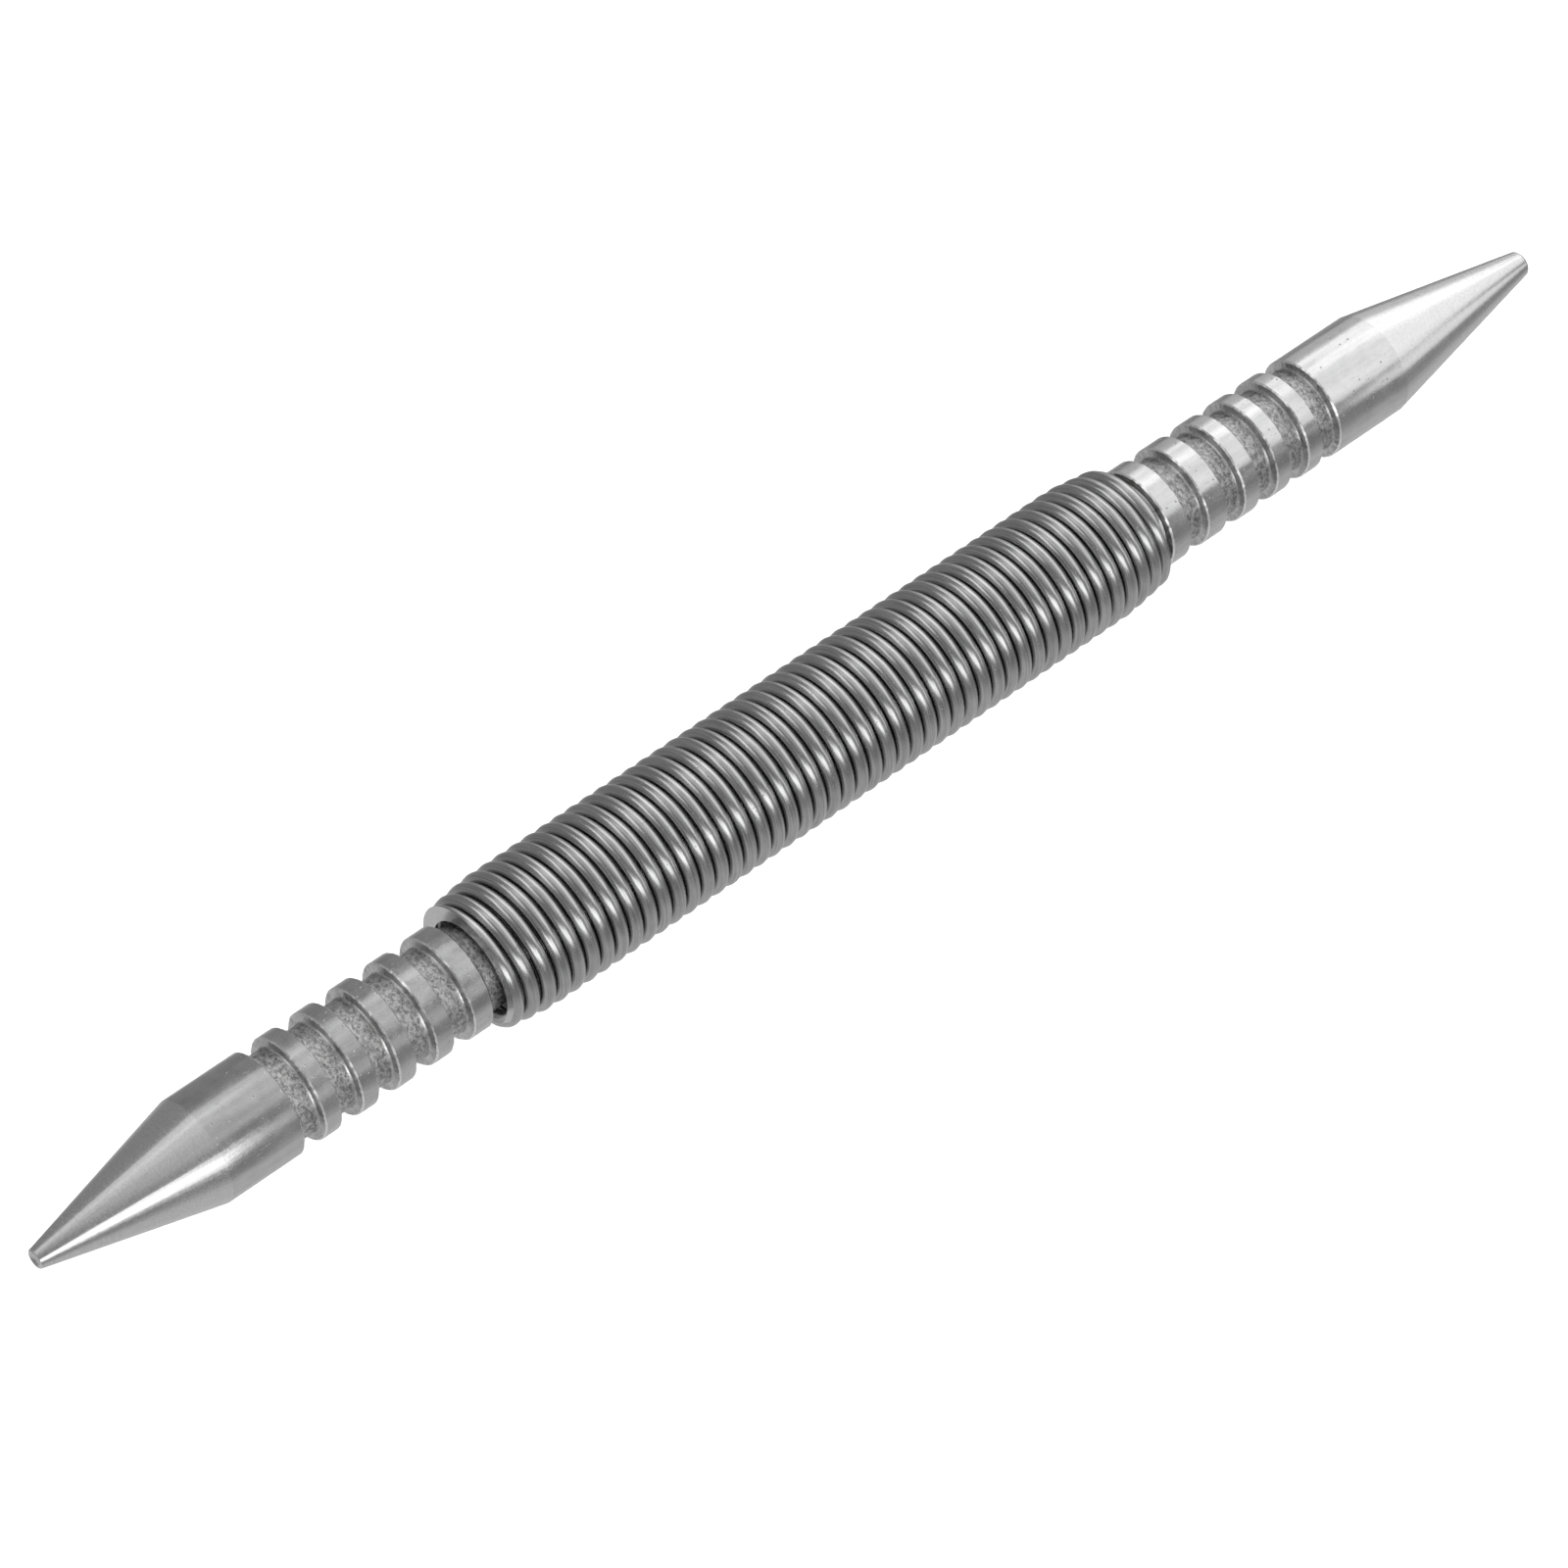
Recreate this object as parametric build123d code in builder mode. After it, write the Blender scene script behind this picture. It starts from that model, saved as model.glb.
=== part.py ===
"""Double-ended spring punch: two turned steel punches held end to end by one coil spring.

The tool lies along X, with the small tip at -X and the large tip at +X. The origin is on the
axis, half way between the two tips. Pulling the large punch out along +X stretches the spring,
and letting it go makes the two flat inner faces strike each other. Lengths are in millimetres.
"""

from build123d import *
import math
import os

os.makedirs("parts", exist_ok=True)

# ---- the bar that both punches are turned from
body_diameter = 9.0          # heads and lands
shank_relief = 0.4           # the shank inside the spring is this much thinner
groove_width = 1.95          # one tool width
groove_depth = 0.8
floor_fillet = 0.2           # tool nose radius in the corners of a groove
edge_break = 0.12            # broken edges of lands and heads
strike_chamfer = 0.5         # rim of each inner striking face

# ---- small punch, from its tip inwards
small_tip_diameter = 1.65
small_cone_length = 14.9
small_head_length = 6.8
small_land_widths = (1.6, 1.6, 1.65, 1.7, 1.9)
small_shank_length = 40.0    # from the last land to the striking face
cup_diameter = 1.15          # dished end that keeps the tip on a nail head
cup_depth = 0.2
small_tip_break = 0.08

# ---- large punch, from its tip inwards
large_tip_diameter = 2.2
large_cone_length = 17.75
large_head_length = 7.7
large_land_widths = (1.6, 1.6, 1.7, 2.1, 1.95)
large_tip_radius = 0.35      # rounded rim of the flat end

# ---- coil spring, right hand, with ends that close in and are ground flat
wire_diameter = 1.3
bore_play = 0.3              # the body of the spring passes over the lands by this much
end_closing = 1.1            # the last turn of each end is this much smaller
total_turns = 48.0
taper_turns = 3.0            # turns over which an end closes in
coil_gap = 0.14              # between turns along the body
closed_gap = 0.01            # between the last two turns of each end
ground_past_centre = 0.355   # the ground face lies this far inside the wire's end
wire_end_angle = -58.0       # where the wire starts, turning from +Y towards +Z
points_per_turn = 12         # of the curve that the wire follows
turns_per_span = 4           # the wire is swept in stretches of about this many turns

# ---- how the spring sits on the punches
seat_gap = 1.25              # from a collar's face to the ground end of the spring
seat_floor_play = 0.4        # between the last turn and the floor of its seat
coil_clearance = 0.08        # between a turn and the shank it passes over

# ---- radii and pitches that follow
body_radius = body_diameter / 2
floor_radius = body_radius - groove_depth
shank_radius = body_radius - shank_relief / 2
wire_radius = wire_diameter / 2
coil_radius = body_radius + bore_play / 2 + wire_radius
end_radius = coil_radius - end_closing / 2
seat_floor_radius = end_radius - wire_radius - seat_floor_play
coil_pitch = wire_diameter + coil_gap
closed_pitch = wire_diameter + closed_gap


def advance(turn):
    """How far along the axis the wire has come, this many turns from either end."""
    return closed_pitch * min(turn, 1.0) + coil_pitch * max(turn - 1.0, 0.0)


def turn_radius(turn):
    """Radius of the wire's centre line, this many turns from either end."""
    return end_radius + (coil_radius - end_radius) * min(turn / taper_turns, 1.0)


def body_length(head_length, land_widths):
    """Length of the grooved body from the head's start to the collar's inner face."""
    return head_length + len(land_widths) * groove_width + sum(land_widths)


# ---- lengths and places along the axis that follow
wire_advance = 2 * closed_pitch + (total_turns - 2) * coil_pitch
spring_length = wire_advance - 2 * ground_past_centre
inner_span = spring_length + 2 * seat_gap
large_shank_length = inner_span - small_shank_length
small_collar = small_cone_length + body_length(small_head_length, small_land_widths)
large_collar = large_cone_length + body_length(large_head_length, large_land_widths)
overall_length = small_collar + inner_span + large_collar
spring_start = -overall_length / 2 + small_collar + seat_gap
spring_end = overall_length / 2 - large_collar - seat_gap
wire_start = spring_start - ground_past_centre

# The seat reaches in to the turn whose inside clears the shank.
seat_turns = taper_turns * (shank_radius + coil_clearance + wire_radius - end_radius) / (
    coil_radius - end_radius)
seat_length = seat_gap - ground_past_centre + advance(seat_turns)

# Each punch is drawn along its own axis, from its tip inwards.
small_axis = Plane(origin=(-overall_length / 2, 0, 0), x_dir=(1, 0, 0), z_dir=(0, 0, 1))
large_axis = Plane(origin=(overall_length / 2, 0, 0), x_dir=(-1, 0, 0), z_dir=(0, 0, -1))


def blank_profile(tip_radius, cone_length, collar, shank_length):
    """Half outline of a punch before its grooves are cut, from the tip round to the axis."""
    strike = collar + shank_length
    with BuildSketch() as blank:
        with BuildLine():
            Polyline(
                (0, 0),
                (0, tip_radius),
                (cone_length, body_radius),
                (collar, body_radius),
                (collar, shank_radius),
                (strike - strike_chamfer, shank_radius),
                (strike, shank_radius - strike_chamfer),
                (strike, 0),
                close=True,
            )
        make_face()
    return blank.sketch


def groove_profile(first_groove, land_widths, collar):
    """The ring grooves between the lands, and the longer seat for the end of the spring."""
    with BuildSketch() as grooves:
        place = first_groove
        for land in land_widths:
            with Locations((place, floor_radius)):
                Rectangle(groove_width, body_radius, align=(Align.MIN, Align.MIN))
            place += groove_width + land
        with Locations((collar, seat_floor_radius)):
            Rectangle(seat_length, body_radius, align=(Align.MIN, Align.MIN))
        fillet(grooves.vertices().filter_by(lambda corner: corner.Y < body_radius), floor_fillet)
    return grooves.sketch


def land_edges(punch, junction_x):
    """The round edges of the lands and the head, without the one where the cone starts."""
    return (
        punch.edges()
        .filter_by(GeomType.CIRCLE)
        .filter_by(lambda edge: abs(edge.radius - body_radius) < edge_break / 4)
        .filter_by(lambda edge: abs(edge.arc_center.X - junction_x) > edge_break)
    )


def wire_point(turn):
    """A point on the wire's centre line, this many turns from its end at the small punch."""
    left = total_turns - turn
    along = advance(turn) if turn < left else wire_advance - advance(left)
    radius = turn_radius(min(turn, left))
    angle = math.radians(wire_end_angle + 360 * turn)
    return Vector(wire_start + along, radius * math.cos(angle), radius * math.sin(angle))


def wire_tangent(turn, pitch):
    """Which way the wire runs at this turn, where it climbs by this pitch."""
    angle = math.radians(wire_end_angle + 360 * turn)
    around = 2 * math.pi * turn_radius(min(turn, total_turns - turn))
    return Vector(pitch, -around * math.sin(angle), around * math.cos(angle)).normalized()


def wire_span(first, last):
    """The wire's curve from one turn to another, through evenly spaced points."""
    steps = round((last - first) * points_per_turn)
    points = [wire_point(first + (last - first) * step / steps) for step in range(steps + 1)]
    first_pitch = closed_pitch if first == 0 else coil_pitch
    last_pitch = closed_pitch if last == total_turns else coil_pitch
    ends = (wire_tangent(first, first_pitch), wire_tangent(last, last_pitch))
    return Spline(*points, tangents=ends, tangent_scalars=(1, 1))


# ================= small tip punch =================
with BuildPart() as small_tip_punch:
    with BuildSketch(small_axis):
        add(blank_profile(small_tip_diameter / 2, small_cone_length,
                          small_collar, small_shank_length))
    revolve(axis=Axis.X)
    with BuildSketch(small_axis):
        add(groove_profile(small_cone_length + small_head_length, small_land_widths, small_collar))
    revolve(axis=Axis.X, mode=Mode.SUBTRACT)
    chamfer(land_edges(small_tip_punch, small_axis.origin.X + small_cone_length), edge_break)
    chamfer(small_tip_punch.edges().filter_by(GeomType.CIRCLE).sort_by(Axis.X)[0], small_tip_break)
    with BuildSketch(small_axis):
        with BuildLine():
            dish = ThreePointArc((0, -cup_diameter / 2), (cup_depth, 0), (0, cup_diameter / 2))
            Line(dish @ 1, dish @ 0)
        make_face()
        split(bisect_by=Plane.XZ)
    revolve(axis=Axis.X, mode=Mode.SUBTRACT)

# ================= large tip punch =================
with BuildPart() as large_tip_punch:
    with BuildSketch(large_axis):
        add(blank_profile(large_tip_diameter / 2, large_cone_length,
                          large_collar, large_shank_length))
    revolve(axis=Axis.X)
    with BuildSketch(large_axis):
        add(groove_profile(large_cone_length + large_head_length, large_land_widths, large_collar))
    revolve(axis=Axis.X, mode=Mode.SUBTRACT)
    chamfer(land_edges(large_tip_punch, large_axis.origin.X - large_cone_length), edge_break)
    fillet(large_tip_punch.edges().filter_by(GeomType.CIRCLE).sort_by(Axis.X)[-1], large_tip_radius)

# ================= coil spring =================
span_count = math.ceil(total_turns / turns_per_span)
span_turns = total_turns / span_count
with BuildPart() as coil_spring:
    for span in range(span_count):
        with BuildLine() as path:
            wire_span(span * span_turns, (span + 1) * span_turns)
        with BuildSketch(Plane(origin=path.line @ 0, z_dir=path.line % 0)):
            Circle(wire_radius)
        sweep(path=path.line, is_frenet=True)
    split(bisect_by=Plane(origin=(spring_start, 0, 0), z_dir=(1, 0, 0)), keep=Keep.TOP)
    split(bisect_by=Plane(origin=(spring_end, 0, 0), z_dir=(1, 0, 0)), keep=Keep.BOTTOM)

# ================= write one file per piece =================
pieces = {
    "small_tip_punch": small_tip_punch,
    "large_tip_punch": large_tip_punch,
    "coil_spring": coil_spring,
}
for label, piece in pieces.items():
    piece.part.label = label
    export_step(piece.part, f"parts/{label}.step")
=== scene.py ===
"""Double-ended spring punch: its visible pieces, their finishes and the studio.

Lengths are in metres. The tool lies along X, with the small tip at -X and its axis on Y = Z = 0.
"""

import math

import bmesh
import bpy
from bpy.props import FloatProperty, FloatVectorProperty, IntProperty, PointerProperty
from mathutils import Matrix, Vector, noise


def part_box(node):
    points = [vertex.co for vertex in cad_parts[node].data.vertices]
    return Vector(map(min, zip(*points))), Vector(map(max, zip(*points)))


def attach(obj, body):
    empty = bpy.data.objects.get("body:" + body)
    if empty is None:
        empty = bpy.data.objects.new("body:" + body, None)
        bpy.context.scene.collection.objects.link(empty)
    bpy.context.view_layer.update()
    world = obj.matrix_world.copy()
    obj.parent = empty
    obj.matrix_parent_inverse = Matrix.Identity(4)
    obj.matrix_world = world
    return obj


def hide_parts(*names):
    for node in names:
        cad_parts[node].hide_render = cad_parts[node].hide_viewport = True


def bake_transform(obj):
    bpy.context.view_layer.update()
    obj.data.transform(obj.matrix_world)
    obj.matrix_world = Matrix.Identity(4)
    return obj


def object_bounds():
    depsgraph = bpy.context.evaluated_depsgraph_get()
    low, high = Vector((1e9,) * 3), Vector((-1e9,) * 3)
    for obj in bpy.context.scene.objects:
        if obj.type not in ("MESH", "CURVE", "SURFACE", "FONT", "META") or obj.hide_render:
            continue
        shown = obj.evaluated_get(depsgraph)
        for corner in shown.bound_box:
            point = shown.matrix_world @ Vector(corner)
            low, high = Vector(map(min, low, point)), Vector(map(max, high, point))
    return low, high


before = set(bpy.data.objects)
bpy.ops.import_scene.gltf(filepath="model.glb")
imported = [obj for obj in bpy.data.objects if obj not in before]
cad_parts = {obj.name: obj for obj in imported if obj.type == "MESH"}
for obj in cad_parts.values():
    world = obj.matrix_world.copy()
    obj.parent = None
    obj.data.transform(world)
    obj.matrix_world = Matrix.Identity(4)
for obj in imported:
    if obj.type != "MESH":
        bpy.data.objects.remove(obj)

bl_info = {
    "name": "Spring Punch",
    "version": (1, 0, 0),
    "blender": (4, 5, 0),
    "location": "3D View > Sidebar > Spring Punch",
    "description": "Builds a double-ended spring punch and the studio that it lies in",
    "category": "Add Mesh",
}

CAD_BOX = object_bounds()
SMALL_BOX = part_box("small_tip_punch")
LARGE_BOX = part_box("large_tip_punch")
SPRING_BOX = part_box("coil_spring")
MM = 0.001

MERGE_DISTANCE = 1e-6              # vertices closer than this are one
SHARP_ANGLE = math.radians(24)     # faces that meet at more than this have a sharp edge
FLOOR_STEP = 0.25 * MM             # along the floor of a groove
DISH_STEPS = 5                     # across the dish in the small tip
RIM_STEPS = 6                      # round the rim of the large tip
WAVE_DETAIL, WAVE_SHARE = 2.6, 0.7     # slow waves round a ring: how fine, and how strong
NICK_DETAIL, NICK_SHARE = 16.0, 1.1    # nicks round an edge
NICK_SEED = 7.3                    # keeps the nicks apart from the waves
SCUFF_DETAIL = 30.0                # scuffs round a groove's floor
SMALL_SEED, LARGE_SEED = 11.0, 53.0    # keep the wear of the two punches apart
SEED_STEP = 3.17                   # keeps the wear of a punch's rings apart
FLOOR_SIZE = 3.0                   # half the width of the studio's floor
FLOOR_GAP = 0.02 * MM              # between the floor and the tool
FLOOR_SHADE = 0.985                # how much darker the floor is in its clouds
LOW_START, LOW_END = -0.72, -0.28  # heights between which the room's low light fades out
SENSOR_WIDTH = 36.0
CLIP_NEAR, CLIP_FAR = 0.01, 20.0


# ================= what a user would change =================
def length(name, description, default):
    """A length in metres, with its default given in millimetres."""
    return FloatProperty(name=name, description=description, default=default * MM,
                         min=0.0, unit="LENGTH", precision=5)


def share(name, description, default):
    """A number from 0 to 1."""
    return FloatProperty(name=name, description=description, default=default,
                         min=0.0, max=1.0, subtype="FACTOR")


def colour(name, description, default):
    """A linear colour."""
    return FloatVectorProperty(name=name, description=description, default=default,
                               min=0.0, max=1.0, size=3, subtype="COLOR")


def angle(name, description, degrees):
    """An angle, with its default given in degrees."""
    return FloatProperty(name=name, description=description, default=math.radians(degrees),
                         unit="ROTATION", subtype="ANGLE")


class PunchSizes(bpy.types.PropertyGroup):
    """Sizes of the two turned punches."""

    body_diameter: length("Body diameter", "Diameter of the heads and lands",
                          (SMALL_BOX[1].z - SMALL_BOX[0].z) / MM)
    shank_relief: length("Shank relief", "How much thinner the shank inside the spring is", 0.4)
    groove_width: length("Groove width", "Width of a grip groove", 1.95)
    groove_depth: length("Groove depth", "Depth of a grip groove", 0.8)
    floor_fillet: length("Floor fillet", "Tool nose radius in the corners of a groove", 0.2)
    edge_break: length("Edge break", "Broken edges of lands and heads", 0.12)
    strike_chamfer: length("Strike chamfer", "Rim of each inner striking face", 0.5)
    seat_length: length("Seat length", "Length of the groove that the spring's end sits in", 2.964)
    small_tip: length("Small tip", "Diameter of the small tip", 1.65)
    small_cone: length("Small cone", "Length of the small punch's cone", 14.9)
    small_head: length("Small head", "Length of the small punch's head", 6.8)
    small_lands: FloatVectorProperty(
        name="Small lands", description="Widths of the small punch's lands, from its head inwards",
        size=5, default=[w * MM for w in (1.6, 1.6, 1.65, 1.7, 1.9)], unit="LENGTH")
    small_break: length("Small tip break", "Broken rim of the small tip", 0.08)
    cup_diameter: length("Cup diameter", "Diameter of the dish in the small tip", 1.15)
    cup_depth: length("Cup depth", "Depth of the dish in the small tip", 0.2)
    large_tip: length("Large tip", "Diameter of the large tip", 2.2)
    large_cone: length("Large cone", "Length of the large punch's cone", 17.75)
    large_head: length("Large head", "Length of the large punch's head", 7.7)
    large_lands: FloatVectorProperty(
        name="Large lands", description="Widths of the large punch's lands, from its head inwards",
        size=5, default=[w * MM for w in (1.6, 1.6, 1.7, 2.1, 1.95)], unit="LENGTH")
    large_rim: length("Large tip rim", "Rounded rim of the large tip", 0.35)
    nick_size: length("Nick size", "How far nicks wander along the broken edges", 0.05)
    floor_scuff: length("Floor scuff", "How uneven a groove's floor is", 0.015)
    steps: IntProperty(name="Steps", description="Faces around a punch", default=256, min=24)


class SpringSizes(bpy.types.PropertyGroup):
    """Sizes of the coil spring."""

    wire: length("Wire", "Diameter of the wire", 1.3)
    coil_radius: length("Coil radius", "Radius of the wire's line along the body", 5.3)
    end_radius: length("End radius", "Radius of the wire's line at either end", 4.75)
    coil_pitch: length("Coil pitch", "Distance between turns along the body", 1.44)
    closed_pitch: length("Closed pitch", "Distance between the last two turns", 1.31)
    ground: length("Ground", "How far inside the wire's end the ground face lies", 0.355)
    turns: IntProperty(name="Turns", description="Turns of wire from end to end",
                       default=48, min=6)
    taper_turns: FloatProperty(name="Taper turns",
                               description="Turns over which an end closes in",
                               default=3.0, min=0.5)
    seated_turns: FloatProperty(name="Seated turns",
                                description="Turns at each end that hold on to a punch",
                                default=1.5, min=0.5)
    start_angle: angle("Start angle", "Where the wire starts, from +Y towards +Z", -58.0)
    steps: IntProperty(name="Steps", description="Rings of faces in one turn", default=80, min=12)
    sides: IntProperty(name="Sides", description="Faces around the wire", default=16, min=6)


class SteelFinishes(bpy.types.PropertyGroup):
    """Colours and roughness of the steel."""

    plating_dark: colour("Dull plating", "Plating where it is dull", (0.42, 0.42, 0.425))
    plating_light: colour("Clean plating", "Plating where it is clean", (0.68, 0.68, 0.68))
    plating_roughness: share("Plating roughness", "Roughness of the plating", 0.22)
    ground_dark: colour("Ground steel, dark", "Cones in their grinding lines", (0.50, 0.50, 0.50))
    ground_light: colour("Ground steel", "Cones between their grinding lines", (0.72, 0.72, 0.72))
    ground_roughness: share("Ground roughness", "Roughness of the cones", 0.24)
    groove_dark: colour("Groove, dark", "Groove floors in their tears", (0.16, 0.16, 0.16))
    groove_light: colour("Groove, light", "Groove floors on their crests", (0.70, 0.70, 0.70))
    groove_roughness: share("Groove roughness", "Roughness of the groove floors", 0.34)
    wall_dark: colour("Wall, dark", "Groove walls in their turning lines", (0.34, 0.34, 0.34))
    wall_light: colour("Wall, light", "Groove walls between their turning lines",
                       (0.72, 0.72, 0.72))
    wall_roughness: share("Wall roughness", "Roughness of the groove walls", 0.30)
    edge_light: colour("Bright edge", "Bare steel on the broken edges", (0.86, 0.86, 0.86))
    edge_roughness: share("Edge roughness", "Roughness of the broken edges", 0.34)
    wire_dark: colour("Wire, dark", "Wire in its draw lines", (0.26, 0.26, 0.265))
    wire_light: colour("Wire", "Wire between its draw lines", (0.56, 0.56, 0.56))
    wire_roughness: share("Wire roughness", "Roughness of the wire", 0.25)


class StudioSettings(bpy.types.PropertyGroup):
    """Camera, lights and floor."""

    azimuth: angle("Azimuth", "Where the camera stands, turning from -Y towards +X", -41.61)
    elevation: angle("Elevation", "How high the camera stands", 49.32)
    distance: FloatProperty(name="Distance", description="From the camera to its target",
                            default=0.50642, unit="LENGTH")
    target: FloatVectorProperty(name="Target", description="Offset of the camera's target along "
                                "the tool, and to the right and up in the picture",
                                default=(-0.00570, 0.000979, -0.00145), size=3, unit="LENGTH")
    lens: FloatProperty(name="Lens", description="Focal length", default=150.0, unit="CAMERA")
    floor_colour: colour("Floor colour", "Colour of the floor", (0.86, 0.86, 0.86))
    room_light: share("Room light", "Brightness of the room's walls", 0.30)
    low_light: share("Low light", "Brightness that comes up from below", 0.62)
    floor_light: FloatProperty(name="Floor light", description="Power of the light for the floor",
                               default=80.0, min=0.0, unit="POWER")


# ================= shader maths =================
class Value:
    """A shader node's output. Sums with it add Math nodes."""

    def __init__(self, maker, socket):
        self.maker = maker
        self.socket = socket

    def math(self, operation, first, second):
        return self.maker.node("ShaderNodeMath", {"operation": operation}, {0: first, 1: second})

    def __add__(self, other):
        return self.math("ADD", self, other)

    def __radd__(self, other):
        return self.math("ADD", other, self)

    def __sub__(self, other):
        return self.math("SUBTRACT", self, other)

    def __rsub__(self, other):
        return self.math("SUBTRACT", other, self)

    def __mul__(self, other):
        return self.math("MULTIPLY", self, other)

    def step(self, low, high):
        """0 below low, 1 above high, and smooth between them."""
        return self.maker.node(
            "ShaderNodeMapRange", {"interpolation_type": "SMOOTHSTEP"},
            {"Value": self, "From Min": low, "From Max": high, "To Min": 0.0, "To Max": 1.0})


class Maker:
    """Makes the nodes of one node tree, which it empties first."""

    def __init__(self, tree):
        self.tree = tree
        self.tree.nodes.clear()

    def node(self, kind, settings=None, inputs=None, output=0):
        """Adds a node: its settings first, then its sockets' values or links."""
        made = self.tree.nodes.new(kind)
        for key, value in (settings or {}).items():
            setattr(made, key, value)
        for key, value in (inputs or {}).items():
            if isinstance(value, Value):
                self.tree.links.new(value.socket, made.inputs[key])
            else:
                made.inputs[key].default_value = value
        return None if output is None else Value(self, made.outputs[output])

    def place(self):
        """Object coordinates in millimetres."""
        here = self.node("ShaderNodeTexCoord", output="Object")
        return self.scaled(here, (1 / MM, 1 / MM, 1 / MM))

    def scaled(self, vector, factors):
        return self.node("ShaderNodeVectorMath", {"operation": "MULTIPLY"},
                         {0: vector, 1: factors})

    def noise(self, vector, stretch=None, scale=1.0, detail=3.0, roughness=0.5, distortion=0.0):
        """Noise from about 0 to 1. The vector is multiplied by the stretch first."""
        if stretch:
            vector = self.scaled(vector, stretch)
        return self.node("ShaderNodeTexNoise", {"noise_dimensions": "3D"},
                         {"Vector": vector, "Scale": scale, "Detail": detail,
                          "Roughness": roughness, "Distortion": distortion})

    def spots(self, vector, scale, low, high):
        """1 within the low distance of a cell's point, and 0 beyond the high one."""
        cell = self.node("ShaderNodeTexVoronoi", {"feature": "F1"},
                         {"Vector": vector, "Scale": scale, "Randomness": 1.0})
        return 1 - cell.step(low, high)

    def mix(self, low, high, factor):
        """One colour where the factor is 0, and another where it is 1."""
        made = self.tree.nodes.new("ShaderNodeMix")
        made.data_type = "RGBA"
        made.clamp_factor = True
        sockets = [s for s in made.inputs if s.type == "RGBA"]
        for socket, value in zip(sockets, (low, high)):
            if isinstance(value, Value):
                self.tree.links.new(value.socket, socket)
            else:
                socket.default_value = (*value, 1.0)
        self.tree.links.new(factor.socket, made.inputs[0])
        return Value(self, next(s for s in made.outputs if s.type == "RGBA"))


class Finish(Maker):
    """A material that is being made, node by node."""

    def __init__(self, name):
        self.material = bpy.data.materials.new(name)
        self.material.use_nodes = True
        super().__init__(self.material.node_tree)

    def steel(self, base, roughness, height):
        """Ends the material as metal, with this height in millimetres as its relief."""
        relief = self.node("ShaderNodeBump", None,
                           {"Height": height, "Strength": 1.0, "Distance": MM})
        self.end(self.node("ShaderNodeBsdfPrincipled", None,
                           {"Base Color": base, "Metallic": 1.0, "Roughness": roughness,
                            "Normal": relief}))
        return self.material

    def end(self, shader):
        self.node("ShaderNodeOutputMaterial", None, {"Surface": shader}, output=None)


def satin_plating(look):
    """Satin plating, cloudy, with fine pits and faint scratches along the tool."""
    finish = Finish("satin_plating")
    place = finish.place()
    cloud = finish.noise(place, scale=0.55, detail=5.0, roughness=0.62, distortion=0.4)
    streak = finish.noise(place, stretch=(0.10, 1.0, 1.0), scale=1.3, detail=4.0, roughness=0.6)
    grain = finish.noise(place, scale=9.0, detail=3.0, roughness=0.6)
    dimple = finish.noise(place, stretch=(0.8, 1.0, 1.0), scale=2.3, detail=3.0, roughness=0.55)
    turned = finish.noise(place, stretch=(1.0, 0.03, 0.03), scale=11.0, detail=2.0)
    pits = finish.spots(place, scale=1.15, low=0.06, high=0.12)
    scratch = finish.noise(place, stretch=(0.22, 1.0, 1.0), scale=9.0, detail=2.0, roughness=0.5,
                           distortion=0.6)
    scratched = scratch.step(0.66, 0.72)
    clean = (cloud.step(0.25, 0.75) * 0.32 + streak.step(0.3, 0.7) * 0.3 + grain * 0.4
             - pits * 0.35 - scratched * 0.12)
    rough = (look.plating_roughness + (cloud - 0.5) * 0.22 + (grain - 0.5) * 0.10
             + pits * 0.2 + scratched * 0.1)
    height = (cloud * 0.007 + dimple * 0.006 + grain * 0.0026 + turned * 0.0012
              - pits * 0.02 - scratched * 0.002)
    return finish.steel(finish.mix(look.plating_dark, look.plating_light, clean),
                        rough, height)


def ground_cone(look):
    """Ground cones: fine rings round the tool, and a speckled grain."""
    finish = Finish("ground_cone")
    place = finish.place()
    rings = finish.noise(place, stretch=(1.0, 0.02, 0.02), scale=14.0, detail=3.0, roughness=0.65)
    speckle = finish.noise(place, stretch=(1.0, 0.6, 0.6), scale=7.0, detail=3.0, roughness=0.7)
    cloud = finish.noise(place, stretch=(0.3, 1.0, 1.0), scale=0.7, detail=3.0, roughness=0.5)
    clean = rings * 0.5 + speckle.step(0.3, 0.7) * 0.35 + cloud * 0.3
    rough = look.ground_roughness + (speckle - 0.5) * 0.16 + (cloud - 0.5) * 0.08
    height = rings * 0.0028 + speckle * 0.0022
    return finish.steel(finish.mix(look.ground_dark, look.ground_light, clean),
                        rough, height)


def torn_groove(look):
    """Groove floors, torn by the tool and dull from plating."""
    finish = Finish("torn_groove")
    place = finish.place()
    tears = finish.noise(place, stretch=(1.0, 0.75, 0.75), scale=3.6, detail=5.0, roughness=0.68,
                         distortion=0.5)
    rings = finish.noise(place, stretch=(1.0, 0.06, 0.06), scale=6.0, detail=3.0, roughness=0.6)
    grain = finish.noise(place, scale=13.0, detail=3.0, roughness=0.7)
    crest = tears.step(0.40, 0.60) * 0.6 + grain.step(0.38, 0.64) * 0.4 + (rings - 0.5) * 0.5
    rough = look.groove_roughness + (tears - 0.5) * 0.3
    height = tears * 0.075 + grain * 0.018 + rings * 0.010
    return finish.steel(finish.mix(look.groove_dark, look.groove_light, crest),
                        rough, height)


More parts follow.
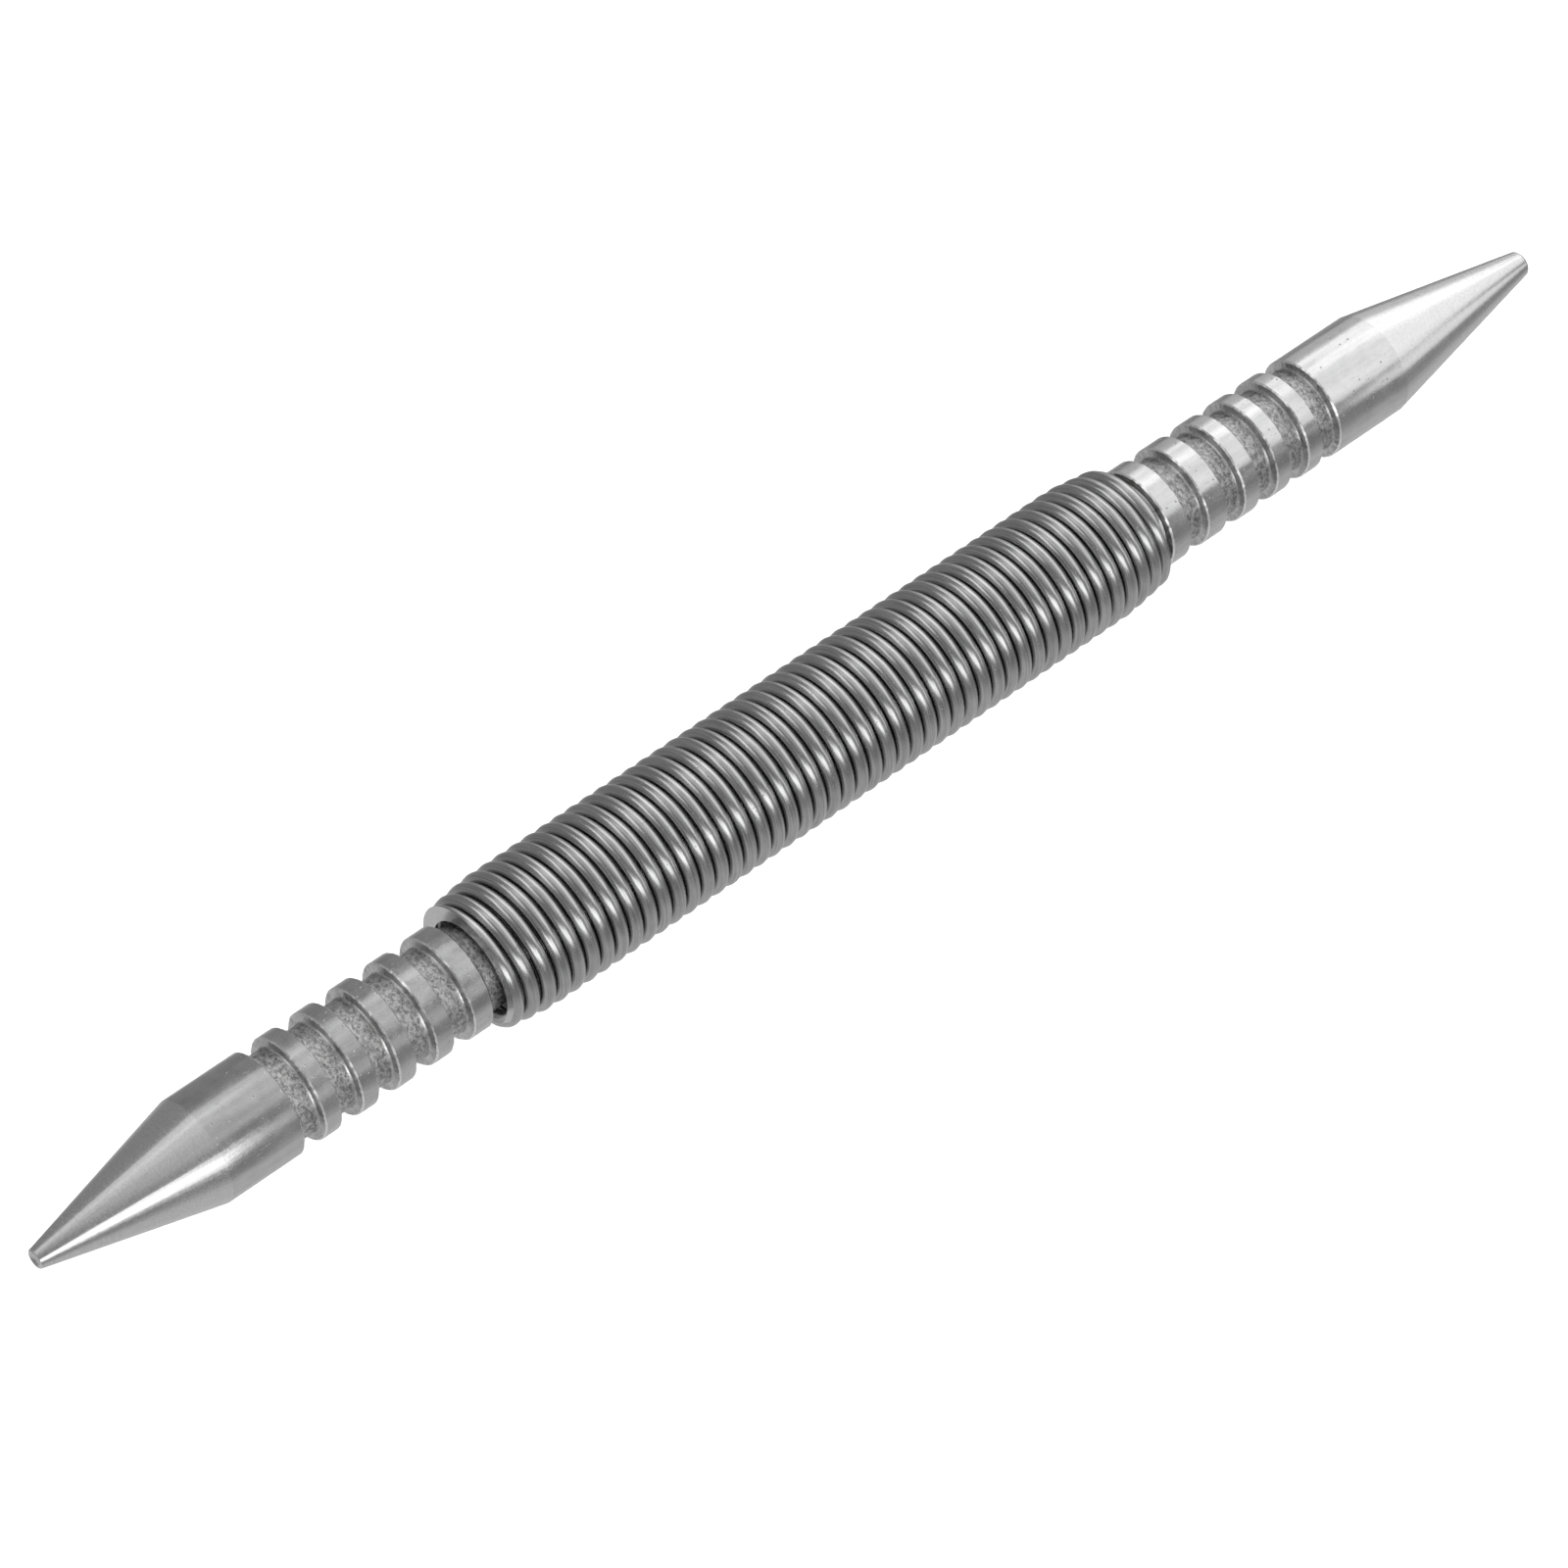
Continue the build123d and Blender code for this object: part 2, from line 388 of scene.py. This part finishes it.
def turned_wall(look):
    """Groove walls and their rounded feet, with turning lines and a few smears."""
    finish = Finish("turned_wall")
    place = finish.place()
    rings = finish.noise(place, scale=5.0, detail=4.0, roughness=0.65)
    smears = finish.noise(place, stretch=(1.0, 0.5, 0.5), scale=1.6, detail=4.0, roughness=0.6,
                          distortion=0.5)
    clean = rings.step(0.3, 0.7) * 0.5 + smears.step(0.35, 0.65) * 0.5
    rough = look.wall_roughness + (smears - 0.5) * 0.25
    return finish.steel(finish.mix(look.wall_dark, look.wall_light, clean),
                        rough, rings * 0.02)


def bare_edge(look):
    """Bare bright steel on broken edges, dull again in its nicks."""
    finish = Finish("bare_edge")
    place = finish.place()
    nicks = finish.noise(place, scale=5.0, detail=4.0, roughness=0.65)
    clean = nicks.step(0.34, 0.52)
    rough = look.edge_roughness + (nicks - 0.5) * 0.3
    return finish.steel(finish.mix(look.groove_light, look.edge_light, clean),
                        rough, nicks * 0.02)


def drawn_wire(look):
    """Drawn spring wire, with its draw lines running along the wire."""
    finish = Finish("drawn_wire")
    place = finish.place()
    run = finish.node("ShaderNodeUVMap", {"uv_map": "wire"})
    lines = finish.noise(run, stretch=(26.0, 120.0, 0.0), scale=1.0, detail=4.0, roughness=0.65)
    cloud = finish.noise(place, scale=0.6, detail=4.0, roughness=0.6)
    specks = finish.spots(place, scale=2.1, low=0.05, high=0.13)
    grain = finish.noise(place, scale=12.0, detail=2.0)
    clean = lines.step(0.25, 0.75) * 0.6 + cloud * 0.5 - specks * 0.4
    rough = look.wire_roughness + (lines - 0.5) * 0.12 + specks * 0.2
    height = lines * 0.0045 + grain * 0.0015 - specks * 0.01
    return finish.steel(finish.mix(look.wire_dark, look.wire_light, clean),
                        rough, height)


# ================= turned punches =================
class Station:
    """One point of a punch's half outline, and the finish of the strip that follows it.

    Its ring of vertices wanders along the tool by its nick, and in and out by its scuff.
    """

    def __init__(self, along, radius, finish, nick=0.0, scuff=0.0):
        self.along = along
        self.radius = radius
        self.finish = finish
        self.nick = nick
        self.scuff = scuff


GROUND, PLATED, GROOVE, EDGE, WALL = range(5)


def groove_stations(start, end, floor, sizes, outer_end):
    """A groove, from the broken edge before it to the broken edge after it."""
    body = sizes.body_diameter / 2
    rim, nose, nick = sizes.edge_break, sizes.floor_fillet, sizes.nick_size
    bend = nose * (1 - math.sqrt(0.5))
    stations = [
        Station(start - rim, body, EDGE, nick),
        Station(start, body - rim, WALL, nick),
        Station(start, floor + nose, WALL),
        Station(start + bend, floor + bend, WALL),
        Station(start + nose, floor, GROOVE),
    ]
    inner = end - start - 2 * nose
    count = max(3, round(inner / FLOOR_STEP))
    for index in range(1, count):
        stations.append(Station(start + nose + inner * index / count, floor, GROOVE,
                                scuff=sizes.floor_scuff))
    stations += [
        Station(end - nose, floor, WALL),
        Station(end - bend, floor + bend, WALL),
        Station(end, floor + nose, WALL),
    ]
    if outer_end > body - rim:
        stations += [Station(end, body - rim, EDGE, nick), Station(end + rim, body, PLATED, nick)]
    else:
        stations.append(Station(end, outer_end, PLATED))
    return stations


def punch_outline(sizes, tip, cone, head, lands, strike):
    """Stations of a punch, from its tip to the axis at its striking face."""
    body = sizes.body_diameter / 2
    floor = body - sizes.groove_depth
    shank = body - sizes.shank_relief / 2
    stations = list(tip)
    stations.append(Station(cone, body, PLATED, sizes.nick_size))
    place = cone + head
    for land in lands:
        stations += groove_stations(place, place + sizes.groove_width, floor, sizes, body)
        place += sizes.groove_width + land
    stations += groove_stations(place, place + sizes.seat_length, floor, sizes, shank)
    stations += [
        Station(strike - sizes.strike_chamfer, shank, PLATED),
        Station(strike, shank - sizes.strike_chamfer, PLATED),
        Station(strike, 0.0, PLATED),
    ]
    return stations


def small_tip(sizes):
    """The dished end of the small punch, up to its cone."""
    dish, depth = sizes.cup_diameter / 2, sizes.cup_depth
    rim = sizes.small_tip / 2
    stations = []
    for index in range(DISH_STEPS + 1):
        part = index / DISH_STEPS
        stations.append(Station(depth * (1 - part ** 2), dish * part, GROUND))
    stations.append(Station(0.0, rim - sizes.small_break, EDGE))
    slope = (sizes.body_diameter / 2 - rim) / sizes.small_cone
    stations.append(Station(sizes.small_break, rim + slope * sizes.small_break, GROUND))
    return stations


def large_tip(sizes):
    """The flat end of the large punch and its rounded rim, up to its cone."""
    rim, nose = sizes.large_tip / 2, sizes.large_rim
    slope = (sizes.body_diameter / 2 - rim) / sizes.large_cone
    lean = math.atan(slope)
    centre = rim + slope * nose - nose / math.cos(lean)
    stations = [Station(0.0, 0.0, GROUND)]
    for index in range(RIM_STEPS + 1):
        turn = (math.pi / 2 - lean) * index / RIM_STEPS
        stations.append(Station(nose - nose * math.cos(turn), centre + nose * math.sin(turn),
                                GROUND))
    return stations


def ring_noise(turn, detail, seed):
    """Smooth noise that changes round the tool and closes on itself."""
    return noise.noise(Vector((detail * math.cos(turn), detail * math.sin(turn), seed)))


def wander(turn, seed, detail):
    """A number from about -1 to 1: slow waves round the tool, with finer nicks on them."""
    waves = ring_noise(turn, WAVE_DETAIL, seed)
    nicks = ring_noise(turn, detail, seed + NICK_SEED)
    return waves * WAVE_SHARE + nicks * NICK_SHARE


def turned_piece(name, stations, tip, inwards, sizes, materials, seed):
    """Spins a half outline about X into one closed piece."""
    shape = bmesh.new()
    ring = shape.verts.layers.int.new("ring")
    previous = None
    for index, station in enumerate(stations):
        vert = shape.verts.new((tip + inwards * station.along, 0.0, station.radius))
        vert[ring] = index
        if previous:
            shape.edges.new((previous, vert))
        previous = vert
    bmesh.ops.spin(shape, geom=shape.verts[:] + shape.edges[:], cent=(0, 0, 0), axis=(1, 0, 0),
                   angle=math.tau, steps=sizes.steps, use_merge=True)
    bmesh.ops.remove_doubles(shape, verts=shape.verts, dist=MERGE_DISTANCE)
    for vert in shape.verts:
        station = stations[vert[ring]]
        turn = math.atan2(vert.co.z, vert.co.y)
        key = seed + vert[ring] * SEED_STEP
        if station.scuff:
            radius = math.hypot(vert.co.y, vert.co.z)
            scale = 1 + wander(turn, key, SCUFF_DETAIL) * station.scuff / radius
            vert.co.y *= scale
            vert.co.z *= scale
        if station.nick:
            vert.co.x += wander(turn, key, NICK_DETAIL) * station.nick
    bmesh.ops.recalc_face_normals(shape, faces=shape.faces)
    for face in shape.faces:
        face.material_index = stations[min(vert[ring] for vert in face.verts)].finish
        face.smooth = True
    for edge in shape.edges:
        edge.smooth = edge.calc_face_angle(0.0) < SHARP_ANGLE
    return finished_piece(name, shape, materials)


def finished_piece(name, shape, materials):
    """Writes a bmesh to a new object at the origin."""
    mesh = bpy.data.meshes.new(name)
    shape.to_mesh(mesh)
    shape.free()
    for material in materials:
        mesh.materials.append(material)
    piece = bpy.data.objects.new(name, mesh)
    bpy.context.scene.collection.objects.link(piece)
    return piece


def punch_materials(look):
    """The five finishes of a punch, made once for both."""
    makers = (ground_cone, satin_plating, torn_groove, bare_edge, turned_wall)
    return [bpy.data.materials.get(make.__name__) or make(look) for make in makers]


class MakeSmallPunch(bpy.types.Operator):
    """Makes the small punch, with its dished tip"""

    bl_idname = "spring_punch.small_punch"
    bl_label = "Make Small Punch"

    def execute(self, context):
        sizes = context.scene.punch_sizes
        strike = SMALL_BOX[1].x - SMALL_BOX[0].x
        outline = punch_outline(sizes, small_tip(sizes), sizes.small_cone, sizes.small_head,
                                sizes.small_lands, strike)
        piece = turned_piece("small_tip_punch_turned", outline, SMALL_BOX[0].x, 1, sizes,
                             punch_materials(context.scene.steel_finishes), SMALL_SEED)
        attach(piece, "small_punch")
        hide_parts("small_tip_punch")
        return {"FINISHED"}


class MakeLargePunch(bpy.types.Operator):
    """Makes the large punch, with its flat tip"""

    bl_idname = "spring_punch.large_punch"
    bl_label = "Make Large Punch"

    def execute(self, context):
        sizes = context.scene.punch_sizes
        strike = LARGE_BOX[1].x - LARGE_BOX[0].x
        outline = punch_outline(sizes, large_tip(sizes), sizes.large_cone, sizes.large_head,
                                sizes.large_lands, strike)
        piece = turned_piece("large_tip_punch_turned", outline, LARGE_BOX[1].x, -1, sizes,
                             punch_materials(context.scene.steel_finishes), LARGE_SEED)
        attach(piece, "large_punch")
        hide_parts("large_tip_punch")
        return {"FINISHED"}


# ================= coil spring =================
def advance(sizes, turn):
    """How far along the axis the wire has come, this many turns from either end."""
    return sizes.closed_pitch * min(turn, 1.0) + sizes.coil_pitch * max(turn - 1.0, 0.0)


def wire_place(sizes, turn):
    """Distance along the axis and radius of the wire's line, this many turns from its start."""
    left = sizes.turns - turn
    whole = 2 * sizes.closed_pitch + (sizes.turns - 2) * sizes.coil_pitch
    along = advance(sizes, turn) if turn < left else whole - advance(sizes, left)
    closing = min(min(turn, left) / sizes.taper_turns, 1.0)
    return along, sizes.end_radius + (sizes.coil_radius - sizes.end_radius) * closing


def wire_rings(sizes, wire_start):
    """The wire as an even helix, with each vertex's side and turn kept in layers."""
    shape = bmesh.new()
    side = shape.verts.layers.int.new("side")
    turn = shape.verts.layers.float.new("turn")
    climb = math.atan2(sizes.coil_pitch, math.tau * sizes.coil_radius)
    lie = (Matrix.Rotation(sizes.start_angle, 4, "X")
           @ Matrix.Translation((wire_start, sizes.coil_radius, 0))
           @ Matrix.Rotation(-climb, 4, "Y"))
    bmesh.ops.create_circle(shape, segments=sizes.sides, radius=sizes.wire / 2, matrix=lie)
    shape.verts.ensure_lookup_table()
    for index, vert in enumerate(shape.verts):
        vert[side] = index
    first = [vert.co.copy() for vert in shape.verts]
    bmesh.ops.spin(shape, geom=shape.verts[:] + shape.edges[:], cent=(0, 0, 0), axis=(1, 0, 0),
                   dvec=(sizes.coil_pitch / sizes.steps, 0, 0), angle=math.tau,
                   steps=sizes.steps, use_merge=False)
    one_turn = shape.verts[:] + shape.edges[:] + shape.faces[:]
    for count in range(1, sizes.turns):
        copied = bmesh.ops.duplicate(shape, geom=one_turn)["geom"]
        bmesh.ops.translate(shape, vec=(count * sizes.coil_pitch, 0, 0),
                            verts=[v for v in copied if isinstance(v, bmesh.types.BMVert)])
    bmesh.ops.remove_doubles(shape, verts=shape.verts, dist=MERGE_DISTANCE)
    for vert in shape.verts:
        steps = round((vert.co.x - first[vert[side]].x) / sizes.coil_pitch * sizes.steps)
        vert[turn] = steps / sizes.steps
    return shape, side, turn


def close_ends_in(shape, turn, sizes, wire_start):
    """Moves each ring of the even helix to its own radius and place along the axis."""
    for vert in shape.verts:
        along, radius = wire_place(sizes, vert[turn])
        heading = sizes.start_angle + math.tau * vert[turn]
        outwards = Vector((0, math.cos(heading), math.sin(heading)))
        vert.co += outwards * (radius - sizes.coil_radius)
        vert.co.x += along - sizes.coil_pitch * vert[turn]


def unroll_wire(shape, side, turn, sizes):
    """Lays the wire's surface out: round the wire along U, and metres along the wire on V."""
    layer = shape.loops.layers.uv.new("wire")
    for face in shape.faces:
        sides = [loop.vert[side] for loop in face.loops]
        wraps = max(sides) - min(sides) > 1
        for loop in face.loops:
            around = loop.vert[side] + (sizes.sides if wraps and loop.vert[side] == 0 else 0)
            loop[layer].uv = (around / sizes.sides,
                              loop.vert[turn] * math.tau * sizes.coil_radius)


def grind_end(shape, place, outwards):
    """Cuts the wire off flat at one end of the spring and closes the cut."""
    cut = bmesh.ops.bisect_plane(shape, geom=shape.verts[:] + shape.edges[:] + shape.faces[:],
                                 plane_co=(place, 0, 0), plane_no=(outwards, 0, 0),
                                 clear_outer=True)
    rim = [item for item in cut["geom_cut"] if isinstance(item, bmesh.types.BMEdge)]
    made = bmesh.ops.edgeloop_fill(shape, edges=rim)
    for face in made["faces"]:
        face.smooth = False
        face.material_index = 1
        for edge in face.edges:
            edge.smooth = False


class MakeCoilSpring(bpy.types.Operator):
    """Makes the coil spring, with ends that close in and are ground flat"""

    bl_idname = "spring_punch.coil_spring"
    bl_label = "Make Coil Spring"

    def execute(self, context):
        sizes = context.scene.spring_sizes
        look = context.scene.steel_finishes
        start, end = SPRING_BOX[0].x, SPRING_BOX[1].x
        wire_start = start - sizes.ground
        shape, side, turn = wire_rings(sizes, wire_start)
        unroll_wire(shape, side, turn, sizes)
        close_ends_in(shape, turn, sizes, wire_start)
        for face in shape.faces:
            face.smooth = True
        bmesh.ops.holes_fill(shape, edges=shape.edges, sides=sizes.sides)
        grind_end(shape, start, -1)
        grind_end(shape, end, 1)
        bmesh.ops.remove_doubles(shape, verts=shape.verts, dist=MERGE_DISTANCE / 10)
        bmesh.ops.recalc_face_normals(shape, faces=shape.faces)
        piece = finished_piece("coil_spring_wire", shape,
                               [drawn_wire(look), punch_materials(look)[0]])
        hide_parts("coil_spring")
        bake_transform(piece)
        # Each ring of the wire moves as one, so the wire stays round and its turns part evenly.
        return {"FINISHED"}


# ================= studio =================
def towards(turn, lean):
    """A direction this far round the tool, from +Y towards +Z, that leans to +X by this sine."""
    out = math.sqrt(1 - lean * lean)
    return Vector((lean, out * math.cos(turn), out * math.sin(turn)))


# Soft boxes: name, outline, degrees round the tool, lean to +X, distance, size along and across
# the tool, radiance, and shift along the tool.
SOFT_BOXES = (
    ("over_box", "RECTANGLE", 103, 0.08, 0.60, 0.45, 0.70, 0.30, 0.0),
    ("back_box", "RECTANGLE", 86, 0.08, 0.60, 0.43, 0.30, 0.18, 0.0),
    ("glint_box", "RECTANGLE", 66, -0.60, 0.60, 0.56, 0.16, 1.3, 0.0),
    ("strip_box", "RECTANGLE", 67, 0.0, 0.60, 3.0, 0.22, 0.5, 0.0),
    ("front_box", "RECTANGLE", 166, 0.0, 0.60, 0.95, 0.26, 2.2, -0.44),
    ("side_box", "ELLIPSE", 91, 0.75, 0.80, 1.88, 0.66, 1.05, 0.0),
    ("dim_front_box", "RECTANGLE", 166, 0.28, 0.60, 0.22, 0.24, 0.3, 0.0),
    ("far_box", "RECTANGLE", 20, 0.72, 0.80, 0.50, 0.60, 0.42, 0.0),
    ("low_side_box", "ELLIPSE", 170, 0.78, 0.70, 0.36, 0.24, 0.9, 0.0),
)
FLOOR_BOX = ("floor_box", "RECTANGLE", 138, -0.3, 1.3, 1.8, 1.8, 0.0, 0.0)


def soft_box(name, shape, degrees, lean, distance, along, across, radiance, shift):
    """A soft box that faces the tool, as bright as the given radiance."""
    direction = towards(math.radians(degrees), lean)
    light = bpy.data.lights.new(name, "AREA")
    light.shape = shape
    light.size, light.size_y = along, across
    area = along * across * (math.pi / 4 if shape == "ELLIPSE" else 1.0)
    light.energy = radiance * math.pi * area
    box = bpy.data.objects.new(name, light)
    bpy.context.scene.collection.objects.link(box)
    box.location = direction * distance + Vector((shift, 0, 0))
    box.rotation_mode = "QUATERNION"
    box.rotation_quaternion = direction.to_track_quat("Z", "Y")
    return box


class SetStudio(bpy.types.Operator):
    """Lays the floor, and sets up the lights and the camera"""

    bl_idname = "spring_punch.studio"
    bl_label = "Set Up Studio"

    def execute(self, context):
        studio = context.scene.studio_settings
        context.scene.view_settings.view_transform = "Standard"
        self.lay_floor(studio)
        self.light_room(context, studio)
        self.aim_camera(context, studio)
        return {"FINISHED"}

    def lay_floor(self, studio):
        """A pale floor under the tool, which the steel doesn't mirror."""
        shape = bmesh.new()
        level = Matrix.Translation((0, 0, CAD_BOX[0].z - FLOOR_GAP))
        bmesh.ops.create_grid(shape, x_segments=8, y_segments=8, size=FLOOR_SIZE, matrix=level)
        finish = Finish("pale_floor")
        cloud = finish.noise(finish.place(), scale=0.004, detail=2.0)
        shaded = [part * FLOOR_SHADE for part in studio.floor_colour]
        base = finish.mix(shaded, studio.floor_colour, cloud)
        finish.end(finish.node("ShaderNodeBsdfPrincipled", None,
                               {"Base Color": base, "Roughness": 0.9}))
        floor = finished_piece("floor", shape, [finish.material])
        floor.visible_glossy = False

    def light_room(self, context, studio):
        """The room, the soft boxes that the steel mirrors, and one light for the floor only."""
        self.tint_room(context, studio)
        for box in SOFT_BOXES:
            soft_box(*box)
        wide = soft_box(*FLOOR_BOX)
        wide.data.energy = studio.floor_light
        wide.visible_glossy = False

    def tint_room(self, context, studio):
        """Walls of one grey, and a lighter floor below them."""
        world = bpy.data.worlds.new("room")
        world.use_nodes = True
        room = Maker(world.node_tree)
        direction = room.node("ShaderNodeTexCoord", output="Generated")
        height = room.node("ShaderNodeSeparateXYZ", None, {0: direction}, output="Z")
        low = 1 - height.step(LOW_START, LOW_END)
        shade = room.mix([studio.room_light] * 3, [studio.low_light] * 3, low)
        background = room.node("ShaderNodeBackground", None, {"Color": shade})
        room.node("ShaderNodeOutputWorld", None, {"Surface": background}, output=None)
        context.scene.world = world

    def aim_camera(self, context, studio):
        """A camera that looks at its target, a little off the middle of the tool."""
        azimuth, elevation = studio.azimuth, studio.elevation
        back = Vector((math.sin(azimuth) * math.cos(elevation),
                       -math.cos(azimuth) * math.cos(elevation), math.sin(elevation)))
        right = Vector((math.cos(azimuth), math.sin(azimuth), 0))
        up = back.cross(right)
        aim = Vector((studio.target[0], 0, 0)) + right * studio.target[1] + up * studio.target[2]
        data = bpy.data.cameras.new("camera")
        data.lens, data.sensor_width = studio.lens, SENSOR_WIDTH
        data.clip_start, data.clip_end = CLIP_NEAR, CLIP_FAR
        camera = bpy.data.objects.new("camera", data)
        context.scene.collection.objects.link(camera)
        camera.location = aim + back * studio.distance
        camera.rotation_mode = "QUATERNION"
        camera.rotation_quaternion = back.to_track_quat("Z", "Y")
        context.scene.camera = camera


# ================= the add-on =================
class SpringPunchPanel(bpy.types.Panel):
    """Lists the pieces and their settings"""

    bl_idname = "VIEW3D_PT_spring_punch"
    bl_label = "Spring Punch"
    bl_space_type = "VIEW_3D"
    bl_region_type = "UI"
    bl_category = "Spring Punch"

    def draw(self, context):
        for group, _ in GROUPS:
            settings = getattr(context.scene, group)
            box = self.layout.box()
            for name in settings.bl_rna.properties.keys():
                if name not in ("rna_type", "name"):
                    box.prop(settings, name)
        for operator in OPERATORS:
            self.layout.operator(operator.bl_idname)


GROUPS = (("punch_sizes", PunchSizes), ("spring_sizes", SpringSizes),
          ("steel_finishes", SteelFinishes), ("studio_settings", StudioSettings))
OPERATORS = (MakeSmallPunch, MakeLargePunch, MakeCoilSpring, SetStudio)


def register():
    for name, group in GROUPS:
        bpy.utils.register_class(group)
        setattr(bpy.types.Scene, name, PointerProperty(type=group))
    for operator in OPERATORS:
        bpy.utils.register_class(operator)
    bpy.utils.register_class(SpringPunchPanel)


def unregister():
    bpy.utils.unregister_class(SpringPunchPanel)
    for operator in reversed(OPERATORS):
        bpy.utils.unregister_class(operator)
    for name, group in reversed(GROUPS):
        delattr(bpy.types.Scene, name)
        bpy.utils.unregister_class(group)


def main():
    """Builds the tool and its studio."""
    register()
    bpy.ops.spring_punch.small_punch()
    bpy.ops.spring_punch.large_punch()
    bpy.ops.spring_punch.coil_spring()
    bpy.ops.spring_punch.studio()
    bpy.context.view_layer.update()


if __name__ == "__main__":
    main()
